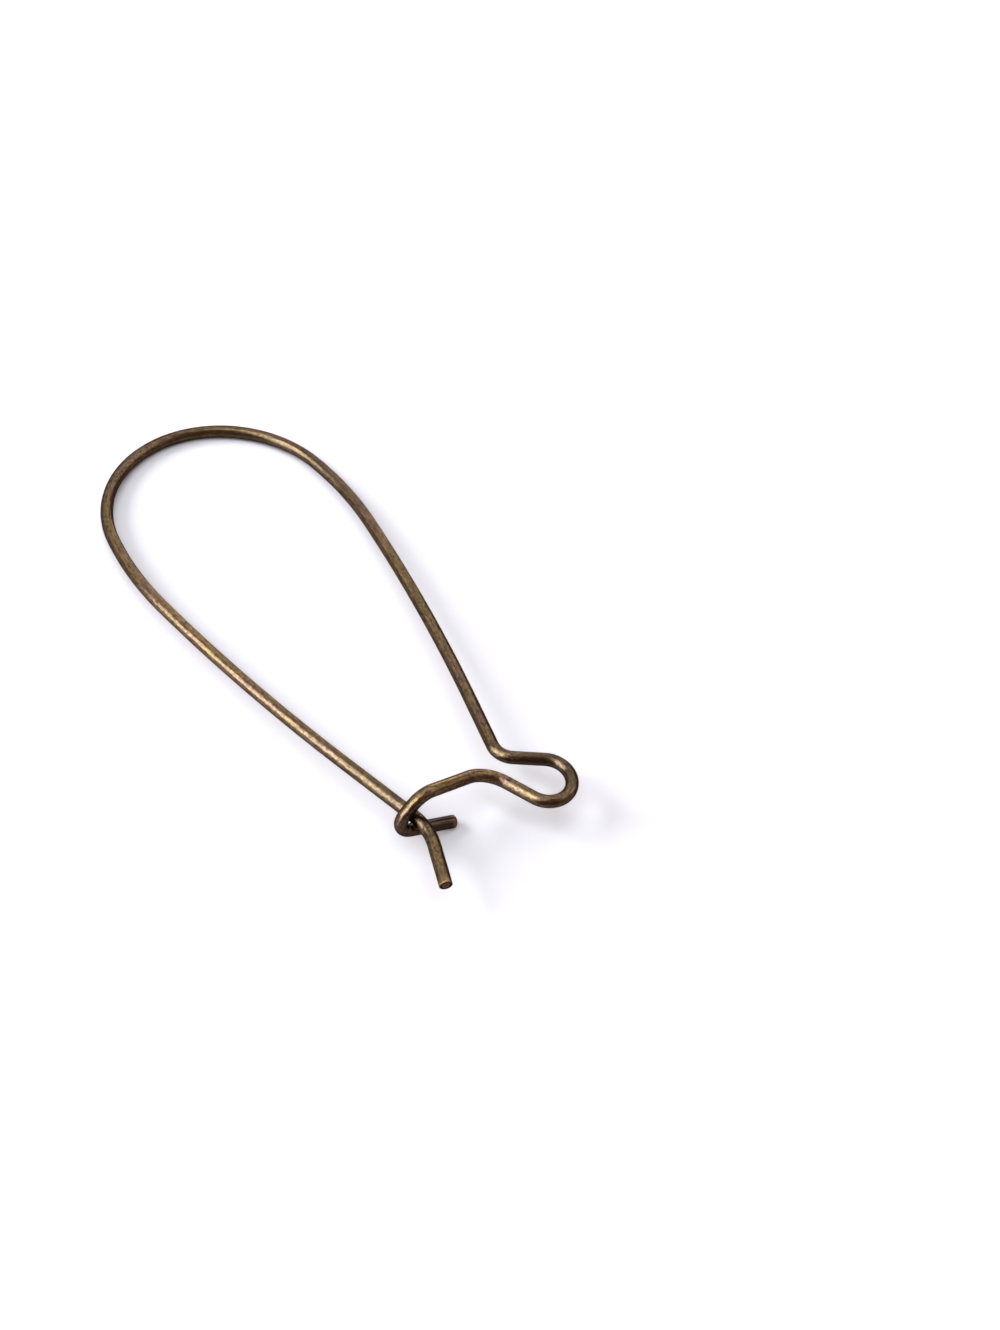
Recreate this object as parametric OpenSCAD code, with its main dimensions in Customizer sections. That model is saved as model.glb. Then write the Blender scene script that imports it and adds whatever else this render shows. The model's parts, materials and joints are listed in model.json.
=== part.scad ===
// Kidney ear wire, lying on a flat surface: one length of round wire bent into a long loop,
// with a small side loop for a charm and a catch that hooks round the free front leg.
// Every radius is measured to the middle of the wire, and every turn in degrees.

/* [Wire] */
// Diameter of the wire
wire_d = 0.7; // [0.6:0.05:0.8]

/* [Main loop] */
// Radius of the round crown that goes through the ear
crown_r = 6.65; // [6:0.05:9]
// Turn of the crown on each side of its top
crown_turn = 80; // [74:1:86]
// Radius of the flank below the crown
flank_r = 18.5; // [14:0.5:26]
// Turn of each flank
flank_turn = 17.3; // [16:0.1:22]
// Radius of the slight curve down each leg
leg_r = 110; // [80:5:150]
// Distance between the legs where these curves end, above the catch
mouth_w = 8.05; // [7.5:0.05:11]
// Straight end of the back leg, above the shoulder
back_run = 3; // [1:0.1:5]

/* [Charm loop] */
// Radius of the shoulder bend below the back leg
shoulder_r = 1.1; // [0.7:0.05:1.5]
// Turn of the shoulder bend
shoulder_turn = 70.3; // [66:0.1:75]
// Straight run from the shoulder out to the charm loop
out_run = 1.7; // [0.8:0.05:3]
// Radius of the charm loop's round end
charm_r = 1.35; // [1.2:0.05:2]
// Turn of the charm loop's round end
charm_turn = 211.5; // [208:0.5:216]
// Straight run back from the charm loop
in_run = 1.65; // [0.8:0.05:3]
// Radius of the bend between the charm loop and the crossbar
hump_r = 1.75; // [1.2:0.05:2.2]
// Turn of that bend
hump_turn = 71.5; // [66:0.5:76]

/* [Catch] */
// Gap between the catch and the leg it holds
catch_gap = 0.12; // [0.06:0.01:0.25]
// Radius of the knee where the crossbar tips down over the leg
knee_r = 1.15; // [0.8:0.05:1.5]
// Slope of the wire between the knee and the return bend
drop_slope = 46.5; // [38:0.5:55]
// Straight run down that slope
drop_run = 0.6; // [0.3:0.05:1]
// Turn of the return bend round the outside of the leg
return_turn = 115; // [105:1:125]
// Twist of the return bend towards the foot
return_twist = 11; // [0:1:15]
// Length of the arm that ends beneath the loop
arm_run = 2.8; // [1.5:0.1:4]

/* [Foot] */
// Radius of the bend that turns the free end outwards, below the catch
foot_r = 3.3; // [2.5:0.05:6]
// Turn of the foot
foot_turn = 36; // [20:0.5:45]
// Straight free end
foot_run = 2.4; // [1:0.1:5]

/* [Rest] */
// Where the crown touches the surface, measured from its top towards the back leg
touch_turn = 9; // [0:1:40]

/* [Hidden] */

UP = [0, 0, 1];
STRAIGHT = 0;
CIRCLE_STEPS = 32;
BEND_STEPS = 360;
// A bend is drawn this much thinner than the wire all round, and reaches this far into
// the runs at its ends, so that both join as one solid
BEND_THINNING = 0.004;
BEND_LAP = 0.04;

wire_r = wire_d / 2;
return_r = wire_d + catch_gap;

// A row of a bend table is [roll, radius, turn] for a bend and [roll, STRAIGHT, run] for a
// run; the wire rolls about itself first. A place is [point, heading, axis of the bend].
function rolled(place, roll) =
    [place[0], place[1], cos(roll) * place[2] + sin(roll) * cross(place[1], place[2])];
function moved(place, run) = [place[0] + run * place[1], place[1], place[2]];
function bent(place, radius, turn) =
    let (side = cross(place[2], place[1]))
    [
        place[0] + radius * (sin(turn) * place[1] + (1 - cos(turn)) * side),
        cos(turn) * place[1] + sin(turn) * side,
        place[2]
    ];
function after(place, row) =
    let (start = rolled(place, row[0]))
    row[1] == STRAIGHT ? moved(start, row[2]) : bent(start, row[1], row[2]);
// The places at the start of every row, and at the end of the last
function places(start, rows, i = 0) =
    i == len(rows) ? [start] : concat([start], places(after(start, rows[i]), rows, i + 1));
function last(list) = list[len(list) - 1];
function level(v) = [v.x, v.y] / norm([v.x, v.y]);
// The middle of the round that a row bends
function middle(place, row) =
    let (start = rolled(place, row[0]))
    start[0] + row[1] * cross(start[2], start[1]);
// Distance from p along a level heading u to the line through q along v, seen from above
function meeting(p, u, q, v) = cross([q.x - p.x, q.y - p.y], v) / cross(u, v);

// The leg's curve ends where the loop has narrowed to its mouth
flank_end = crown_r * sin(crown_turn) + flank_r * (sin(crown_turn + flank_turn) - sin(crown_turn));
leg_turn = 180 - crown_turn - flank_turn
    - asin(sin(crown_turn + flank_turn) - (flank_end - mouth_w / 2) / leg_r);

// The middle of the crown is the origin, and both sides run on from the crown's ends
crown_front = bent([[0, crown_r, 0], [-1, 0, 0], UP], crown_r, crown_turn);
crown_back = bent([[0, crown_r, 0], [1, 0, 0], -UP], crown_r, crown_turn);
SIDE = [
    [0, flank_r, flank_turn],
    [0, leg_r, leg_turn]
];
SHOULDER = [
    [0, STRAIGHT, back_run],
    [180, shoulder_r, shoulder_turn],
    [0, STRAIGHT, out_run]
];
CHARM_LOOP = [
    [180, charm_r, charm_turn],
    [0, STRAIGHT, in_run]
];
leg_place = last(places(crown_front, SIDE));
charm_place = last(places(crown_back, concat(SIDE, SHOULDER)));
hump_place = last(places(charm_place, CHARM_LOOP));

// The return bend is centred on the leg, and the hump is tilted so that the straight
// crossbar rises from it to the knee. Tilt, rise and run are found together, in a few passes
function crossbar(tilt = 0, passes = 24) =
    let (
        start = after(hump_place, [180 + tilt, hump_r, hump_turn]),
        reach = meeting(start[0], level(start[1]), leg_place[0], level(leg_place[1])),
        across = reach + (return_r - knee_r) * sin(drop_slope) - drop_run * cos(drop_slope),
        climb = (return_r - knee_r) * cos(drop_slope) + drop_run * sin(drop_slope) - start[0].z,
        run = sqrt(across * across + climb * climb - knee_r * knee_r),
        rise = atan2(climb, across) + atan2(knee_r, run)
    )
    passes == 0 ? [tilt, rise, run] : crossbar(asin(sin(rise) / sin(hump_turn)), passes - 1);
hump_tilt = crossbar()[0];
bar_rise = crossbar()[1];
bar_run = crossbar()[2];
// The knee bends in the upright plane of the crossbar
knee_roll = -90 - asin(sin(hump_tilt) * cos(hump_turn) / cos(bar_rise));
bar_place = after(hump_place, [180 + hump_tilt, hump_r, hump_turn]);
front_run = meeting(leg_place[0], level(leg_place[1]), bar_place[0], level(bar_place[1]));

CATCH = [
    [180 + hump_tilt, hump_r, hump_turn],
    [0, STRAIGHT, bar_run],
    [knee_roll, knee_r, bar_rise + drop_slope],
    [0, STRAIGHT, drop_run],
    [return_twist, return_r, return_turn],
    [0, STRAIGHT, arm_run]
];
FOOT = [
    [0, STRAIGHT, front_run],
    [180, foot_r, foot_turn],
    [0, STRAIGHT, foot_run]
];
front_rows = concat(SIDE, FOOT);
back_rows = concat(SIDE, SHOULDER, CHARM_LOOP, CATCH);
front_places = places(crown_front, front_rows);
back_places = places(crown_back, back_rows);

// At rest the crown and the lower edge of the arm's cut end touch the surface
arm_end = last(back_places);
edge_down = -UP + (UP * arm_end[1]) * arm_end[1];
edge = arm_end[0] + wire_r * edge_down / norm(edge_down);
rest_tilt = atan((edge.z + wire_r) / (edge.x * sin(touch_turn) + edge.y * cos(touch_turn) - crown_r));
rest_axis = [-cos(touch_turn), sin(touch_turn), 0];
function laid(p) =
    cos(rest_tilt) * p + sin(rest_tilt) * cross(rest_axis, p)
    + (1 - cos(rest_tilt)) * (rest_axis * p) * rest_axis;

// The middle of the outline, seen from above, and the height of the crown's middle
foot_end = last(front_places);
flank_out = laid(middle(crown_back, SIDE[0]) + [flank_r, 0, 0]).x;
charm_out = laid(middle(charm_place, CHARM_LOOP[0]) + [charm_r, 0, 0]).x;
west = laid(middle(crown_front, SIDE[0]) - [flank_r, 0, 0]).x - wire_r;
east = max(flank_out, charm_out) + wire_r;
north = laid([0, crown_r, 0]).y + wire_r;
south = laid(foot_end[0] - [0, wire_r * abs(foot_end[1].x), 0]).y;
lift = [-(west + east) / 2, -(south + north) / 2, crown_r * sin(rest_tilt) + wire_r];

module straight_run(place, run) {
    across = cross(place[1], place[2]);
    multmatrix([for (i = [0:2]) [place[2][i], across[i], place[1][i], place[0][i]]])
        cylinder(h = run, d = wire_d, $fn = CIRCLE_STEPS);
}

module round_bend(place, radius, turn, thinning) {
    side = cross(place[2], place[1]);
    multmatrix([for (i = [0:2]) [-side[i], place[1][i], place[2][i], place[0][i]]])
        translate([-radius, 0])
            rotate_extrude(angle = turn, $fn = BEND_STEPS)
                translate([radius, 0])
                    circle(d = wire_d - 2 * thinning, $fn = CIRCLE_STEPS);
}

// Every other piece is a thinned bend, and the pieces between are the flanks and the runs
module bend_with_laps(place, radius, turn) {
    lap_turn = BEND_LAP / radius * 180 / PI;
    round_bend(bent(place, radius, -lap_turn), radius, turn + 2 * lap_turn, BEND_THINNING);
}

module wire(places, rows) {
    for (i = [0:len(rows) - 1]) {
        start = rolled(places[i], rows[i][0]);
        if (rows[i][1] == STRAIGHT)
            straight_run(start, rows[i][2]);
        else if (i % 2 == 0)
            round_bend(start, rows[i][1], rows[i][2], 0);
        else
            bend_with_laps(start, rows[i][1], rows[i][2]);
    }
}

module ear_wire() {
    color([0.38, 0.30, 0.18])
        translate(lift)
            rotate(a = rest_tilt, v = rest_axis) {
                bend_with_laps([crown_front[0], -crown_front[1], -UP], crown_r, 2 * crown_turn);
                wire(front_places, front_rows);
                wire(back_places, back_rows);
            }
}

ear_wire();
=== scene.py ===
import json
from math import asin, atan2, cos, degrees, pi, radians, sin, sqrt

import bpy
from mathutils import Euler, Matrix, Vector


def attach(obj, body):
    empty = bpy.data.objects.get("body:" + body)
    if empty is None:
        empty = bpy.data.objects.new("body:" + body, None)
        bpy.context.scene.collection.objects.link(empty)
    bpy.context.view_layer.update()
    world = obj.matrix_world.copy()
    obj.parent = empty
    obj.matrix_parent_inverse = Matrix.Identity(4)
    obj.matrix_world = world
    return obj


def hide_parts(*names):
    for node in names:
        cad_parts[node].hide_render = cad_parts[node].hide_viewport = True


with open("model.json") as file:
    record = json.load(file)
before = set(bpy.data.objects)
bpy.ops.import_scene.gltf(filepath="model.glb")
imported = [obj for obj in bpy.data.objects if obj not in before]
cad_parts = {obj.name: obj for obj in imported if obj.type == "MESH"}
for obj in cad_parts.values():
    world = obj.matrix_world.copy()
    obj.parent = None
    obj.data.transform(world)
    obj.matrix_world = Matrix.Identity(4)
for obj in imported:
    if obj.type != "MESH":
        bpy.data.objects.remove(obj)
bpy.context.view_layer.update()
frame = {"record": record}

# The ear wire: one length of round brass wire, drawn, cut, and bent cold round formers into the
# long loop, the side loop for a charm and the catch. Nothing is soldered or threaded on. It is
# plated, darkened to antique bronze and rubbed back. Lengths are in millimetres, turns in degrees.
MM = 0.001
WIRE_RADIUS = 0.35
RIM_RADIUS = 0.03
CROWN_RADIUS = 6.65
CROWN_TURN = 160
FLANK_RADIUS = 18.5
FLANK_TURN = 17.3
LEG_RADIUS = 110
MOUTH_WIDTH = 8.05
HUMP_RADIUS = 1.75
HUMP_TURN = 71.5
KNEE_RADIUS = 1.15
DROP_SLOPE = 46.5
DROP_RUN = 0.6
RETURN_RADIUS = 0.82
ARM_RUN = 2.8
STRAIGHT = 0
UP = Vector((0, 0, 1))

# The legs' curves end where the loop has narrowed to its mouth
crown_end = radians(CROWN_TURN / 2)
flank_end = radians(CROWN_TURN / 2 + FLANK_TURN)
half_width = CROWN_RADIUS * sin(crown_end) + FLANK_RADIUS * (sin(flank_end) - sin(crown_end))
leg_end = pi - asin(sin(flank_end) - (half_width - MOUTH_WIDTH / 2) / LEG_RADIUS)
leg_turn = degrees(leg_end - flank_end)

# A stretch is its name, how far it rolls the wire about itself, its bend's radius and turn or its
# straight run, and at its end a share from 0 to 1 that is partly how well the finish was rubbed back
# and partly painted light, a low share being painted shade: least on the arm and the out run, less
# round the crown, and most down the front leg and on the crossbar, where it is painted highlight
BACK_STRETCHES = (
    ("back flank", 0, FLANK_RADIUS, FLANK_TURN, 0.7),
    ("back leg curve", 0, LEG_RADIUS, leg_turn, 0.6),
    ("back leg", 0, STRAIGHT, 3, 0.45),
    ("shoulder", 180, 1.1, 70.3, 0.45),
    ("out run", 0, STRAIGHT, 1.7, 0.2),
    ("charm loop", 180, 1.35, 211.5, 0.65),
    ("in run", 0, STRAIGHT, 1.65, 0.7),
)


def after(state, stretch):
    """The place, heading and axis of the bend at the end of a stretch that starts at this state."""
    place, heading, axis = state
    _, roll, radius, size, _ = stretch
    axis = cos(radians(roll)) * axis + sin(radians(roll)) * heading.cross(axis)
    if radius == STRAIGHT:
        return place + heading * size, heading, axis
    middle = place + radius * axis.cross(heading)
    bend = Matrix.Rotation(radians(size), 3, axis)
    return middle + bend @ (place - middle), bend @ heading, axis


def run_to(start, heading, place, other_heading):
    """The run along a heading to the line through a place, seen from above."""
    gap = (place - start).to_2d()
    level = heading.to_2d().normalized()
    other_level = other_heading.to_2d()
    return gap.cross(other_level) / level.cross(other_level)


# Both sides are followed from the top of the crown, with the loop laid flat: the front one down
# its leg, and the back one round the charm loop to the hump
half_crown = ("half crown", 0, CROWN_RADIUS, CROWN_TURN / 2, 0)
leg_state = after((CROWN_RADIUS * Vector((0, 1, 0)), Vector((-1, 0, 0)), UP), half_crown)
for stretch in BACK_STRETCHES[:2]:
    leg_state = after(leg_state, stretch)
hump_state = after((CROWN_RADIUS * Vector((0, 1, 0)), Vector((1, 0, 0)), -UP), half_crown)
for stretch in BACK_STRETCHES:
    hump_state = after(hump_state, stretch)

# The return bend is centred on the leg, and the hump is tilted so that the straight crossbar
# rises from it to the knee. Tilt, rise and run are found together, in a few passes
TILT_PASSES = 24
slope = radians(DROP_SLOPE)
tilt = 0
for _ in range(TILT_PASSES):
    hump = ("hump", 180 + degrees(tilt), HUMP_RADIUS, HUMP_TURN, 0.75)
    bar_start, bar_heading, _ = after(hump_state, hump)
    reach = run_to(bar_start, bar_heading, leg_state[0], leg_state[1])
    across = reach + (RETURN_RADIUS - KNEE_RADIUS) * sin(slope) - DROP_RUN * cos(slope)
    climb = (RETURN_RADIUS - KNEE_RADIUS) * cos(slope) + DROP_RUN * sin(slope) - bar_start.z
    bar_run = sqrt(across ** 2 + climb ** 2 - KNEE_RADIUS ** 2)
    rise = atan2(climb, across) + atan2(KNEE_RADIUS, bar_run)
    tilt = asin(sin(rise) / sin(radians(HUMP_TURN)))
knee_roll = -90 - degrees(asin(sin(tilt) * cos(radians(HUMP_TURN)) / cos(rise)))
# The last column is again the share of rubbing back and painted light; the arm gets the least, as
# painted shade
CATCH_STRETCHES = (
    hump,
    ("crossbar", 0, STRAIGHT, bar_run, 0.8),
    ("knee", knee_roll, KNEE_RADIUS, degrees(rise) + DROP_SLOPE, 0.6),
    ("drop", 0, STRAIGHT, DROP_RUN, 0.55),
    ("return bend", 11, RETURN_RADIUS, 115, 0.35),
    ("arm", 0, STRAIGHT, ARM_RUN - RIM_RADIUS, 0.0),
)

# The wire is followed from the foot's cut end, which the frame gives
mounts = {mount["name"]: mount for mount in frame["record"]["mounts"]}
foot_run = mounts["foot"]["dims"]["length_mm"]
foot_axis = Vector(mounts["foot"]["axis"])
foot_tip = Vector(mounts["foot"]["pos_m"]) / MM + foot_axis * foot_run / 2
front_run = run_to(leg_state[0], leg_state[1], bar_start, bar_heading)
# The last column is again the share of rubbing back and painted light; the front leg curve gets the
# most, as painted highlight
FRONT_STRETCHES = (
    ("foot", 0, STRAIGHT, foot_run - RIM_RADIUS, 0.65),
    ("foot bend", 0, 3.3, 36, 0.35),
    ("front leg", 0, STRAIGHT, front_run, 0.45),
    ("front leg curve", 180, LEG_RADIUS, leg_turn, 0.95),
    ("front flank", 0, FLANK_RADIUS, FLANK_TURN, 0.6),
    ("crown", 0, CROWN_RADIUS, CROWN_TURN, 0.35),
)

SIDES = 48
BEND_RING_GAP = 0.1
RUN_RING_GAP = 0.3
heading = -foot_axis
place = foot_tip + heading * RIM_RADIUS
axis = Vector(mounts["charm_loop"]["axis"])
bpy.ops.object.select_all(action="DESELECT")
bpy.ops.mesh.primitive_circle_add(
    vertices=SIDES, radius=WIRE_RADIUS * MM, fill_type="NOTHING",
    location=place * MM, rotation=heading.to_track_quat("Z", "Y").to_euler())
wire = bpy.context.object
wire.name = "bent_wire"
bpy.ops.object.transform_apply(location=True, rotation=True, scale=True)

# The share of rubbing back and painted light at the foot's cut end, from which it runs along the
# stretches
RUB_AND_LIGHT_AT_TIP = 0.7
along = RIM_RADIUS
rubbed = RUB_AND_LIGHT_AT_TIP
ring_places = [along]
ring_rubs_and_lights = [rubbed]
bpy.ops.object.mode_set(mode="EDIT")
bpy.ops.mesh.select_all(action="SELECT")
for stretch in FRONT_STRETCHES + BACK_STRETCHES + CATCH_STRETCHES:
    _, _, radius, size, rub_and_light_at_end = stretch
    end_place, end_heading, axis = after((place, heading, axis), stretch)
    if radius == STRAIGHT:
        length = size
        steps = round(length / RUN_RING_GAP)
        bpy.ops.mesh.extrude_repeat(steps=steps, offset=heading * length / steps * MM)
    else:
        length = radius * radians(size)
        steps = round(length / BEND_RING_GAP)
        middle = place + radius * axis.cross(heading)
        bpy.ops.mesh.spin(steps=steps, angle=-radians(size), center=middle * MM, axis=axis)
    ring_places += [along + length * (step + 1) / steps for step in range(steps)]
    ring_rubs_and_lights += [rubbed + (rub_and_light_at_end - rubbed) * (step + 1) / steps for step in range(steps)]
    place = end_place
    heading = end_heading
    along += length
    rubbed = rub_and_light_at_end

# Both cut ends are filled, their rims rounded by the tumbling barrel, their sheared faces dished
RIM_TURNS = (0, 30, 60, 90)
FACE_STEPS = ((0.04, -0.004), (0.06, -0.01), (0.08, -0.006))
SHARP_TURN = 40
bpy.ops.mesh.select_all(action="SELECT")
bpy.ops.mesh.fill_holes(sides=0)
bpy.ops.mesh.select_all(action="SELECT")
bpy.ops.mesh.normals_make_consistent(inside=False)
bpy.ops.mesh.select_mode(type="FACE")
bpy.ops.mesh.select_all(action="DESELECT")
bpy.ops.object.mode_set(mode="OBJECT")
for face in wire.data.polygons:
    face.select = len(face.vertices) == SIDES
bpy.ops.object.mode_set(mode="EDIT")
for turn, next_turn in zip(RIM_TURNS, RIM_TURNS[1:]):
    inward = RIM_RADIUS * (cos(radians(turn)) - cos(radians(next_turn)))
    outward = RIM_RADIUS * (sin(radians(next_turn)) - sin(radians(turn)))
    bpy.ops.mesh.inset(thickness=inward * MM, depth=outward * MM)
for inward, outward in FACE_STEPS:
    bpy.ops.mesh.inset(thickness=inward * MM, depth=outward * MM)
bpy.ops.object.mode_set(mode="OBJECT")
bpy.ops.object.shade_smooth_by_angle(angle=radians(SHARP_TURN))

# Where each point was on the straight wire: its distance from the foot's cut end and its place
# across the wire; how well it was rubbed back together with how much painted light or painted shade
# it gets; and whether it is on an end's worn rim, 0.5, or inside its sheared face, 1
points = wire.data.vertices
ring_points = len(ring_places) * SIDES
face_radius = WIRE_RADIUS - 1.5 * RIM_RADIUS
drawn = []
rubs_and_lights = []
for ring_place, ring_rub_and_light in zip(ring_places, ring_rubs_and_lights):
    for side in range(SIDES):
        turn = 2 * pi * side / SIDES
        drawn += [ring_place, WIRE_RADIUS * cos(turn), WIRE_RADIUS * sin(turn)]
        rubs_and_lights.append(ring_rub_and_light)
sheared = [0.0] * ring_points
ends = ((0, 0.0), (ring_points - SIDES, along + RIM_RADIUS))
for point in points[ring_points:]:
    first, end_along = min(ends, key=lambda end: (points[end[0]].co - point.co).length)
    centre = (points[first].co + points[first + SIDES // 2].co) / 2
    directions = [(points[first + side].co - centre).normalized() for side in (0, SIDES // 4)]
    place_across = [(point.co - centre).dot(direction) / MM for direction in directions]
    drawn += [end_along, *place_across]
    rubs_and_lights.append(rubs_and_lights[first])
    sheared.append(1.0 if Vector(place_across).length < face_radius else 0.5)
wire.data.attributes.new("drawn", "FLOAT_VECTOR", "POINT")
wire.data.attributes.new("rubbed", "FLOAT", "POINT")
wire.data.attributes.new("sheared", "FLOAT", "POINT")
wire.data.attributes["drawn"].data.foreach_set("vector", drawn)
wire.data.attributes["rubbed"].data.foreach_set("value", rubs_and_lights)
wire.data.attributes["sheared"].data.foreach_set("value", sheared)


class Finish:
    """A material's nodes, or one output of them, on which sums are written as in Python."""

    def __init__(self, tree, socket=None):
        self.tree = tree
        self.socket = socket

    def node(self, kind, settings, values, output=0):
        made = self.tree.nodes.new(kind)
        for name, value in settings.items():
            setattr(made, name, value)
        for name, value in values.items():
            if isinstance(value, Finish):
                self.tree.links.new(value.socket, made.inputs[name])
            else:
                made.inputs[name].default_value = value
        return Finish(self.tree, made.outputs[output])

    def maths(self, operation, first, second):
        return self.node("ShaderNodeMath", {"operation": operation}, {0: first, 1: second})

    def __add__(self, other):
        return self.maths("ADD", self, other)

    def __sub__(self, other):
        return self.maths("SUBTRACT", self, other)

    def __rsub__(self, other):
        return self.maths("SUBTRACT", other, self)

    def __mul__(self, other):
        return self.maths("MULTIPLY", self, other)

    __radd__ = __add__
    __rmul__ = __mul__

    def between(self, low, high):
        """0 where this is under low, 1 where it is over high, and a smooth step between."""
        settings = {"interpolation_type": "SMOOTHSTEP"}
        values = {"Value": self, "From Min": low, "From Max": high}
        return self.node("ShaderNodeMapRange", settings, values)

    def noise(self, vector, grains, detail, roughness=0.5):
        """Cloudy grain with this many grains a millimetre along and across the wire."""
        spread = self.node("ShaderNodeMapping", {}, {"Vector": vector, "Scale": grains})
        values = {"Vector": spread, "Scale": 1.0, "Detail": detail, "Roughness": roughness}
        return self.node("ShaderNodeTexNoise", {}, values)

    def tint(self, share, first, second):
        """The first colour, turned to the second by the share, in the Mix node's colour sockets."""
        return self.node("ShaderNodeMix", {"data_type": "RGBA"}, {0: share, 6: first, 7: second}, 2)


# The antique bronze finish. Its pattern follows the wire as it was drawn, and the mark on the cut
# ends gives their worn rims, where it is halfway, and their sheared faces
bronze = bpy.data.materials.new("antique_bronze")
bronze.use_nodes = True
links = bronze.node_tree.links
shader = bronze.node_tree.nodes["Principled BSDF"]
paint = Finish(bronze.node_tree)
on_wire = paint.node("ShaderNodeAttribute", {"attribute_name": "drawn"}, {}, "Vector")
rubbing_and_light = paint.node("ShaderNodeAttribute", {"attribute_name": "rubbed"}, {}, "Fac")
cut_end = paint.node("ShaderNodeAttribute", {"attribute_name": "sheared"}, {}, "Fac")
cut_face = cut_end.between(0.5, 1.0)
worn_rim = cut_end * (1.0 - cut_end) * 4.0

OLIVE = (0.104, 0.068, 0.026, 1)
REDDISH = (0.104, 0.061, 0.034, 1)
DARK = (0.013, 0.0075, 0.0055, 1)
COPPER = (0.175, 0.106, 0.050, 1)
cloud = paint.noise(on_wire, (0.35, 0.8, 0.8), 2.0)
mottle = paint.noise(on_wire, (1.6, 2.6, 2.6), 4.0, 0.6)
speckle = paint.noise(on_wire, (5.5, 8.0, 8.0), 4.0, 0.75)
lines = paint.noise(on_wire, (0.25, 14.0, 14.0), 3.0, 0.6)
fine_lines = paint.noise(on_wire, (0.8, 40.0, 40.0), 2.0, 0.5)

# Olive and reddish clouds, with specks where the bronze is rubbed through and where it stayed dark
colour = paint.tint(cloud.between(0.40, 0.62), OLIVE, REDDISH)
colour = paint.tint(speckle.between(0.52, 0.62) * 0.9, colour, COPPER)
colour = paint.tint(speckle.between(0.50, 0.38) * 0.8, colour, DARK)
# The darkening over them: real tarnish left in patches where it was rubbed back least, together with
# painted shade where a stretch is given little light, and darker in the drawing lines
tarnish_and_shade = 1.4 - rubbing_and_light - mottle * 0.8
colour = paint.tint(tarnish_and_shade * 0.9, colour, DARK)
colour = paint.tint(lines.between(0.50, 0.68) * 0.4, colour, DARK)
# The cut ends: bright worn rims round dark sheared faces
colour = paint.tint(worn_rim * 0.6, colour, COPPER)
colour = paint.tint(cut_face * 0.95, colour, DARK)
links.new(colour.socket, shader.inputs["Base Color"])
rough = 0.13 + mottle * 0.14 + lines * 0.08 + cut_face * 0.45
links.new(rough.socket, shader.inputs["Roughness"])
relief = lines * 0.5 + fine_lines * 0.25 + speckle * 0.3
bump = paint.node("ShaderNodeBump", {}, {"Strength": 0.5, "Distance": 0.04 * MM, "Height": relief})
links.new(bump.socket, shader.inputs["Normal"])
lacquer = 0.15 - cut_face * 0.15
links.new(lacquer.socket, shader.inputs["Coat Weight"])
shader.inputs["Coat Roughness"].default_value = 0.2
shader.inputs["Metallic"].default_value = 1.0
shader.inputs["Specular Tint"].default_value = (0.22, 0.17, 0.13, 1)
wire.data.materials.append(bronze)
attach(wire, "root")
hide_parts("ear_wire")

# The floor: a large sheet of smooth white card, which the ear wire lies on. It is no part of the
# object. Its size, and all that stands round it, is in metres.
CARD_SIZE = 3
bpy.ops.object.select_all(action="DESELECT")
bpy.ops.mesh.primitive_plane_add(size=CARD_SIZE)
floor = bpy.context.object
floor.name = "white_card"
card = bpy.data.materials.new("white_card")
card.use_nodes = True
card_shader = card.node_tree.nodes["Principled BSDF"]
card_shader.inputs["Base Color"].default_value = (0.45, 0.45, 0.48, 1)
card_shader.inputs["Roughness"].default_value = 0.35
floor.data.materials.append(card)

# The light: soft boxes and pale walls that show only in reflections, a key and a fill lamp that
# show in none and so light the card alone, and a dim warm room.
DAYLIGHT = (0.80, 0.89, 1.0)
ROOM = (0.50, 0.33, 0.20, 1)


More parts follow.
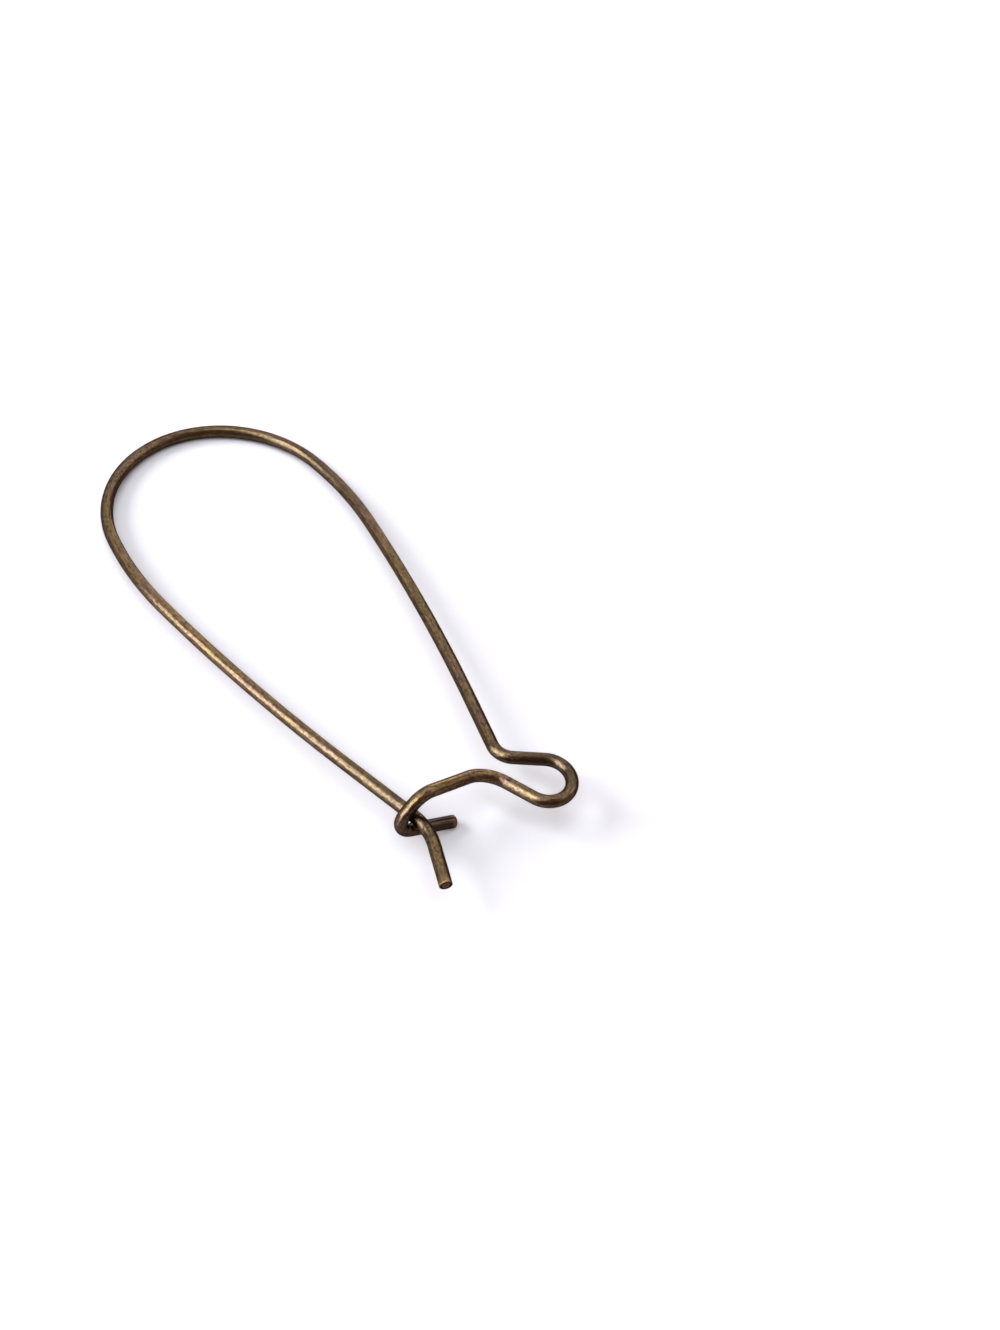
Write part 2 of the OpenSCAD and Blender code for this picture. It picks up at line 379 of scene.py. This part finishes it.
def add_lamp(name, azimuth, elevation, distance, radiance, width, height, tint=(1, 1, 1)):
    """A lamp that faces the ear wire from an azimuth, an elevation and a distance."""
    lamp_data = bpy.data.lights.new(name, "AREA")
    lamp_data.shape = "RECTANGLE"
    lamp_data.size = width
    lamp_data.size_y = height
    lamp_data.energy = radiance * pi * width * height
    lamp_data.color = tint
    lamp = bpy.data.objects.new(name, lamp_data)
    turned = Matrix.Rotation(radians(azimuth + 90), 4, "Z")
    tipped = Matrix.Rotation(radians(90 - elevation), 4, "X")
    lamp.matrix_world = turned @ tipped @ Matrix.Translation((0, 0, distance))
    lamp.visible_camera = False
    bpy.context.scene.collection.objects.link(lamp)
    return lamp


for box in (
    add_lamp("left_soft_box", 171, 41, 0.6, 17.0, 0.46, 0.62, DAYLIGHT),
    add_lamp("left_low_box", 190, 10, 0.6, 5.0, 0.24, 0.26, DAYLIGHT),
    add_lamp("top_soft_box", 140, 80, 0.6, 8.0, 0.30, 0.30, DAYLIGHT),
    add_lamp("right_soft_box", 42, 6, 0.6, 9.0, 0.32, 0.24, DAYLIGHT),
    add_lamp("right_wall", 18, 50, 1.0, 2.4, 1.2, 0.8, DAYLIGHT),
    add_lamp("far_wall", 95, 28, 1.0, 2.0, 1.4, 1.0, DAYLIGHT),
    add_lamp("near_wall", 330, 42, 1.0, 1.0, 0.9, 0.9),
):
    box.visible_diffuse = False
for lamp in (
    add_lamp("key_lamp", 138, 28, 0.6, 24.0, 0.34, 0.34, (0.98, 0.98, 1.0)),
    add_lamp("fill_lamp", 200, 75, 1.0, 4.7, 1.0, 1.0, (0.80, 0.90, 1.0)),
):
    lamp.visible_glossy = False
world = bpy.data.worlds.new("room")
world.use_nodes = True
world.node_tree.nodes["Background"].inputs["Color"].default_value = ROOM
bpy.context.scene.world = world
bpy.context.scene.view_settings.view_transform = "Standard"

# The camera: above the foot's side of the ear wire, at the photograph's angle. Its place is in
# millimetres from the frame's origin, and its three turns are in degrees.
CAMERA_PLACE = Vector((-39.714, -48.263, 79.777))
CAMERA_TURNS = (37.530, -9.590, -36.126)
camera_data = bpy.data.cameras.new("camera")
camera_data.lens = 50.08
camera_data.clip_start = 0.001
camera = bpy.data.objects.new("camera", camera_data)
bpy.context.scene.collection.objects.link(camera)
bpy.context.scene.camera = camera
camera_turn = Euler([radians(turn) for turn in CAMERA_TURNS])
camera.matrix_world = Matrix.Translation(CAMERA_PLACE * MM) @ camera_turn.to_matrix().to_4x4()
